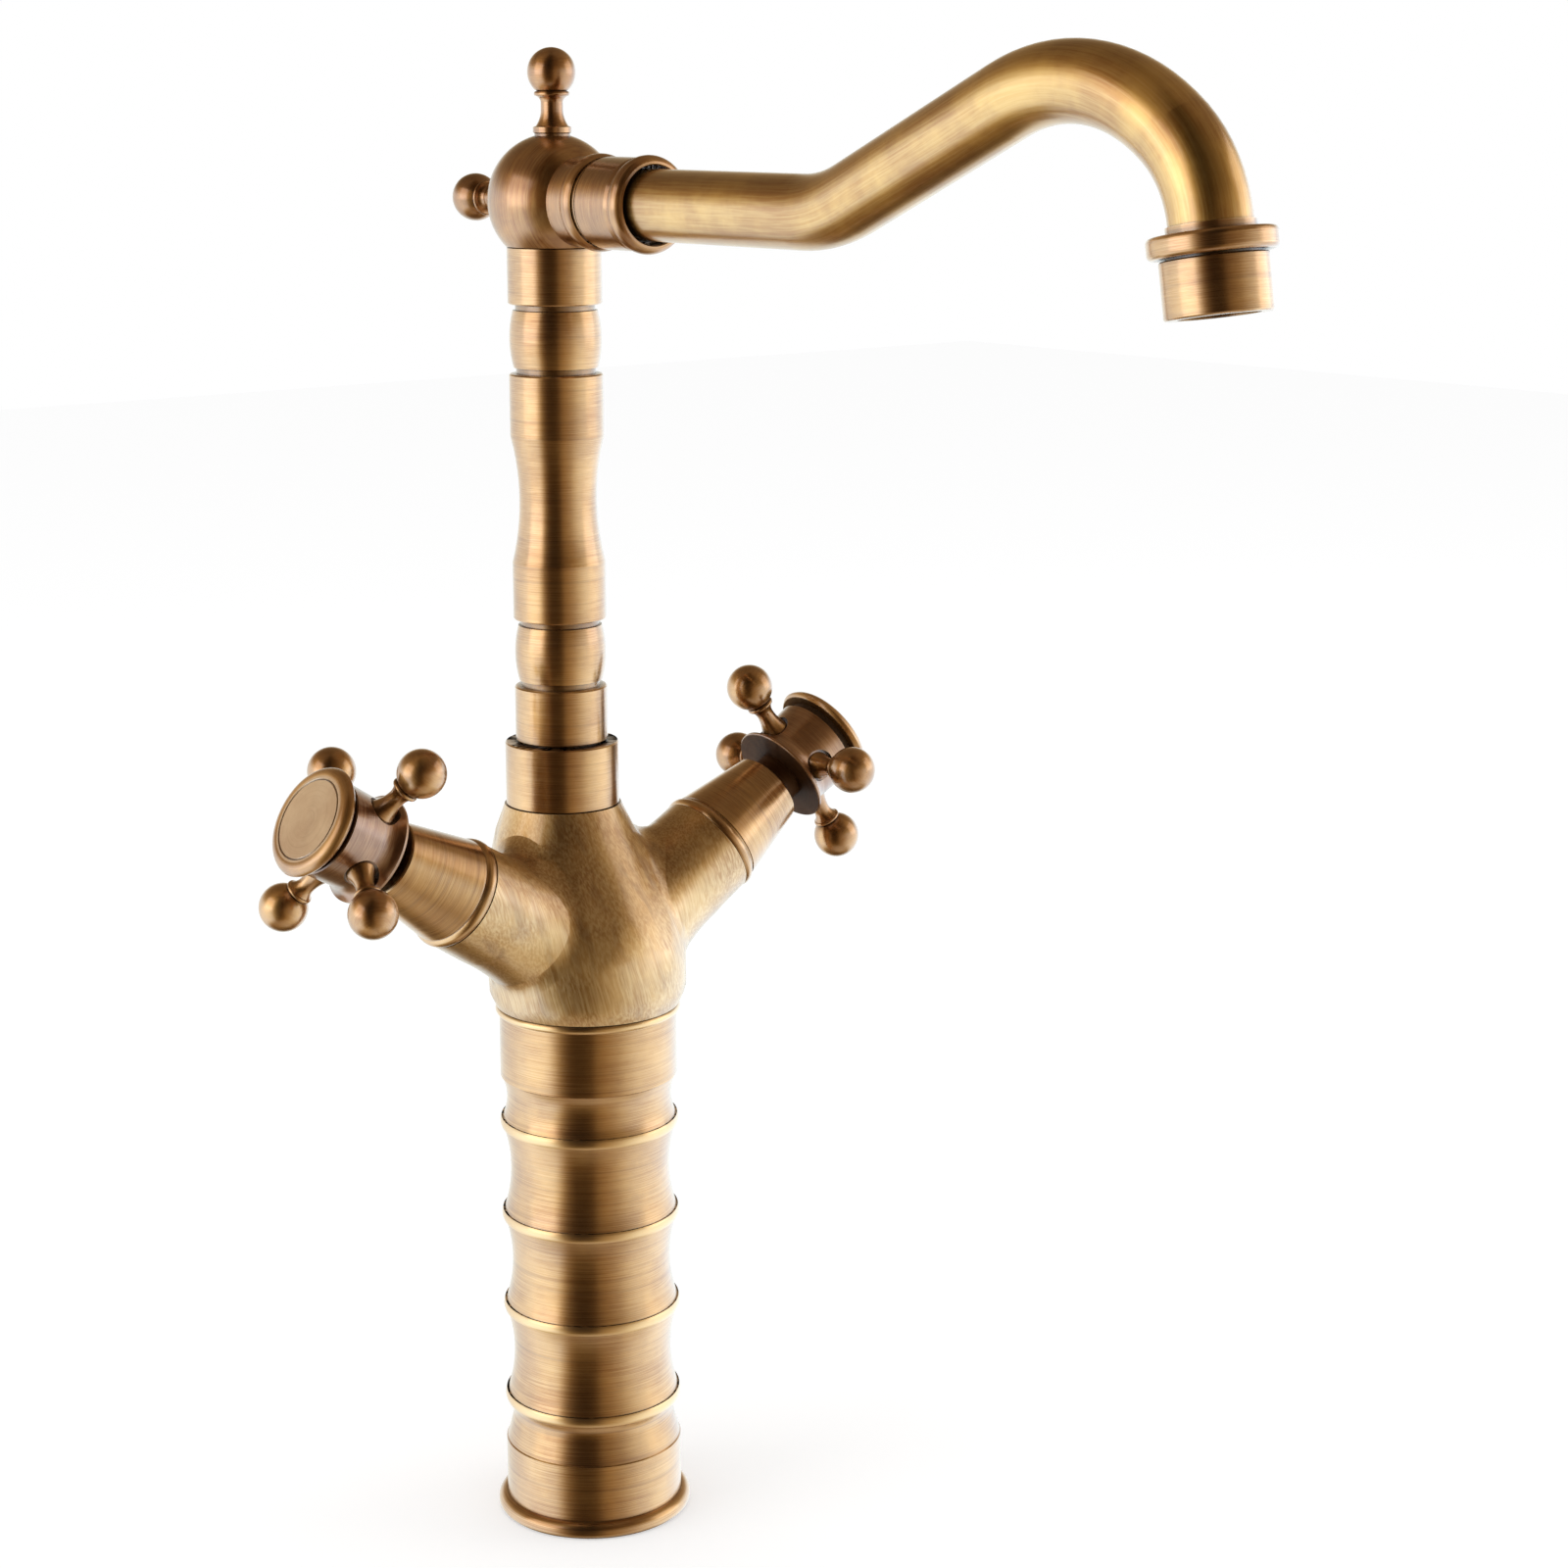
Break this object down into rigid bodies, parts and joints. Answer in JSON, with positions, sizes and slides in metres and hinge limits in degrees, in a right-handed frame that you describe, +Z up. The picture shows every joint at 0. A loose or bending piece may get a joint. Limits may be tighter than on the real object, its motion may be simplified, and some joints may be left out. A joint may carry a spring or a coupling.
{
  "type": "basin mixer tap",
  "caption": "Tall basin mixer tap in antique brass with cross handles, a ridged column and a swivelling swan-neck spout",
  "frame": {"origin": "centre of the foot ring's underside, in the plane of the counter top", "axes": "+Z up along the column; +X to the right, towards the cold handle; -Y towards the user, where the spout points at rest"},
  "size_m": [0.1938, 0.295, 0.4145],
  "materials": {
    "brass_body": "antique brass, brushed and lacquered",
    "brass_column": "antique brass, brushed and lacquered",
    "brass_elbow": "antique brass, brushed and lacquered",
    "brass_finial": "antique brass, brushed and lacquered",
    "brass_outlet": "antique brass, brushed and lacquered",
    "brass_riser": "antique brass, brushed and lacquered",
    "brass_spout": "antique brass, brushed and lacquered",
    "cold_bonnet_brass": "antique brass, brushed and lacquered",
    "cold_cap_brass": "antique brass, brushed and lacquered",
    "cold_handle_brass": "antique brass, brushed and lacquered",
    "hot_bonnet_brass": "antique brass, brushed and lacquered",
    "hot_cap_brass": "antique brass, brushed and lacquered",
    "hot_handle_brass": "antique brass, brushed and lacquered",
    "raw_brass": "machined, unplated",
    "ceramic": "lapped alumina ceramic",
    "rubber": "black moulded rubber",
    "nylon": "natural nylon",
    "aerator_plastic": "light grey moulded plastic",
    "stainless": "stainless steel"
  },
  "bodies": {
    "root": {"base_flange": "brass_column", "base_gasket": "rubber", "base_insert": "raw_brass", "body_seal": "rubber", "cold_bonnet": "cold_bonnet_brass", "cold_fixed_disc": "ceramic", "cold_seat_seal": "rubber", "cold_valve_body": "raw_brass", "cold_valve_o_ring": "rubber", "column": "brass_column", "hot_bonnet": "hot_bonnet_brass", "hot_fixed_disc": "ceramic", "hot_seat_seal": "rubber", "hot_valve_body": "raw_brass", "hot_valve_o_ring": "rubber", "mixer_body": "brass_body", "riser_collar": "brass_riser"},
    "spout": {"aerator_gasket": "rubber", "aerator_housing": "brass_outlet", "aerator_insert": "aerator_plastic", "aerator_screen": "stainless", "elbow": "brass_elbow", "finial_rear": "brass_finial", "finial_top": "brass_finial", "outlet_collar": "brass_outlet", "riser": "brass_riser", "riser_o_ring_high": "rubber", "riser_o_ring_low": "rubber", "split_ring": "nylon", "spout_gasket": "rubber", "spout_nut": "brass_elbow", "spout_tube": "brass_spout"},
    "hot_handle": {"hot_cap": "hot_cap_brass", "hot_hub": "hot_handle_brass", "hot_moving_disc": "ceramic", "hot_screw": "stainless", "hot_spindle": "raw_brass", "hot_spindle_clip": "stainless", "hot_spindle_o_ring": "rubber", "hot_spoke_1": "hot_handle_brass", "hot_spoke_2": "hot_handle_brass", "hot_spoke_3": "hot_handle_brass", "hot_spoke_4": "hot_handle_brass"},
    "cold_handle": {"cold_cap": "cold_cap_brass", "cold_hub": "cold_handle_brass", "cold_moving_disc": "ceramic", "cold_screw": "stainless", "cold_spindle": "raw_brass", "cold_spindle_clip": "stainless", "cold_spindle_o_ring": "rubber", "cold_spoke_1": "cold_handle_brass", "cold_spoke_2": "cold_handle_brass", "cold_spoke_3": "cold_handle_brass", "cold_spoke_4": "cold_handle_brass"}
  },
  "joints": [
    {"name": "spout_swivel", "type": "hinge", "parent": "root", "child": "spout", "pos_m": [0, 0.0104, 0.2165], "axis": [0, 0, 1], "continuous": true},
    {"name": "hot_handle_turn", "type": "hinge", "parent": "root", "child": "hot_handle", "pos_m": [-0.0769, 0, 0.21056], "axis": [-0.8545, 0, 0.5195], "range_deg": [0, 90]},
    {"name": "cold_handle_turn", "type": "hinge", "parent": "root", "child": "cold_handle", "pos_m": [0.0769, 0, 0.21056], "axis": [0.8545, 0, 0.5195], "range_deg": [-90, 0]}
  ]
}
